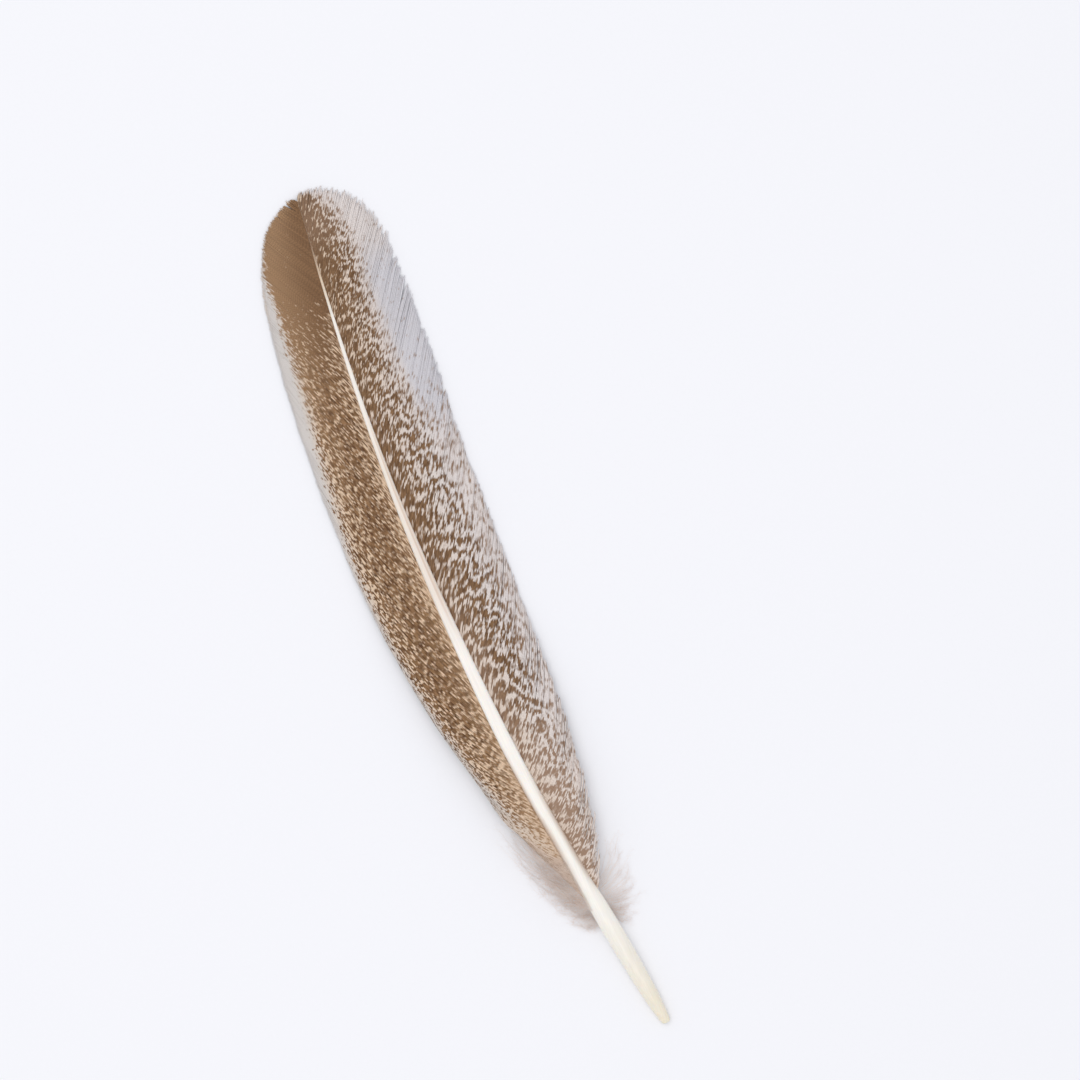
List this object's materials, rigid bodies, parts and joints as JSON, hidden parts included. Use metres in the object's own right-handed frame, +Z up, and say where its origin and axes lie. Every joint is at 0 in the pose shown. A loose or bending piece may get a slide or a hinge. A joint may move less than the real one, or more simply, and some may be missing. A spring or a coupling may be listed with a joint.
{
  "type": "turkey wing feather",
  "caption": "Long wing quill feather with a bare ivory quill, a solid brown narrow vane and a speckled wide vane, lying flat with its upper side up.",
  "frame": {"origin": "on the surface that the feather lies on, under the middle of its bounding box", "axes": "+Y along the feather from the quill end to the tip, +X across it towards the wide trailing vane, +Z up from the surface out of the feather's upper side"},
  "size_m": [0.0572, 0.3, 0.0116],
  "materials": {
    "shaft_keratin": "ivory keratin, smooth and slightly glossy, browner towards the tip",
    "leading_barbs": "tan brown barbs with cream dashes and a pale grey margin",
    "trailing_barbs": "brown barbs mottled with white flecks, white towards the edge",
    "down_barbs": "loose greyish white down"
  },
  "bodies": {
    "root": {"shaft": "shaft_keratin", "leading_vane": "leading_barbs", "trailing_vane": "trailing_barbs", "leading_down": "down_barbs", "trailing_down": "down_barbs"}
  },
  "joints": []
}
